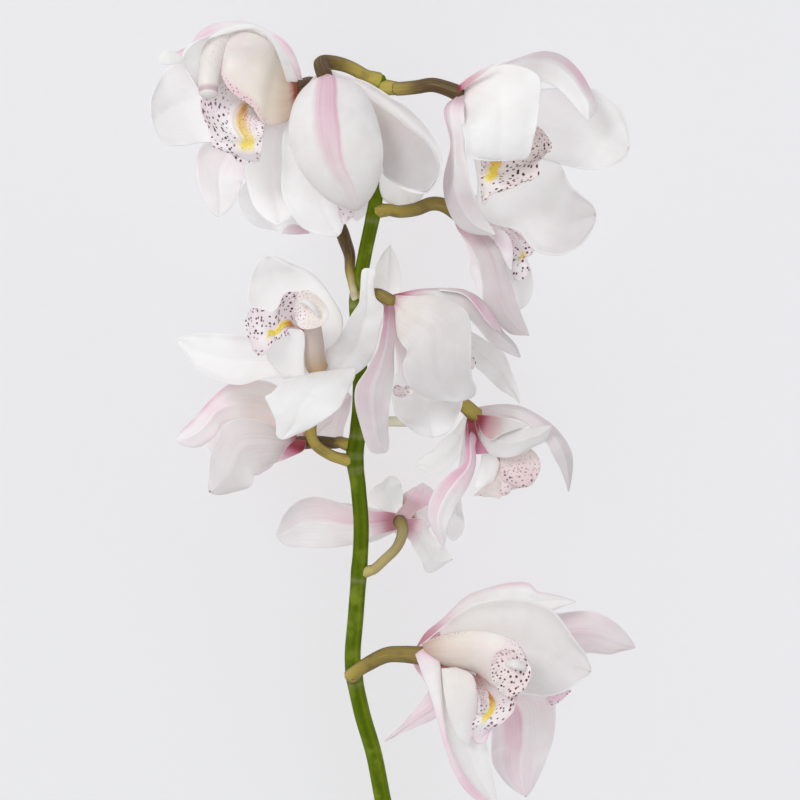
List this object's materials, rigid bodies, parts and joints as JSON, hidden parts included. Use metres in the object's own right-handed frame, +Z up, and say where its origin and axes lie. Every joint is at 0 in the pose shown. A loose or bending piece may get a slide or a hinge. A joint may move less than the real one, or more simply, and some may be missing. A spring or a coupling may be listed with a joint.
{
  "type": "cut orchid stem",
  "caption": "Cut cymbidium orchid lying on its side: a smooth curved green stem whose short arched stalks carry open and hanging white blooms with pink-backed petals and spotted lips.",
  "frame": {"origin": "middle of the bounding box at its bottom, on the surface that the stem lies on", "axes": "+Y along the stem from its cut end to its top, +Z up from the surface"},
  "size_m": [0.2132, 0.4938, 0.0944],
  "materials": {
    "stem_green": "satin",
    "stalk_olive": "satin",
    "petal_white": "satin",
    "lip_pink": "satin"
  },
  "bodies": {
    "root": {"stem": "stem_green", "stalk_a": "stalk_olive", "bloom_a": "petal_white", "lip_a": "lip_pink", "stalk_b": "stalk_olive", "bloom_b": "petal_white", "lip_b": "lip_pink", "stalk_c": "stalk_olive", "bloom_c": "petal_white", "lip_c": "lip_pink", "stalk_d": "stalk_olive", "bloom_d": "petal_white", "lip_d": "lip_pink", "stalk_e": "stalk_olive", "bloom_e": "petal_white", "lip_e": "lip_pink", "stalk_f": "stalk_olive", "bloom_f": "petal_white", "lip_f": "lip_pink", "stalk_g": "stalk_olive", "bloom_g": "petal_white", "lip_g": "lip_pink", "stalk_h": "stalk_olive", "bloom_h": "petal_white", "lip_h": "lip_pink", "stalk_i": "stalk_olive", "bloom_i": "petal_white", "lip_i": "lip_pink", "stalk_j": "stalk_olive", "bloom_j": "petal_white", "lip_j": "lip_pink", "stalk_l": "stalk_olive", "bloom_l": "petal_white", "lip_l": "lip_pink"}
  },
  "joints": []
}
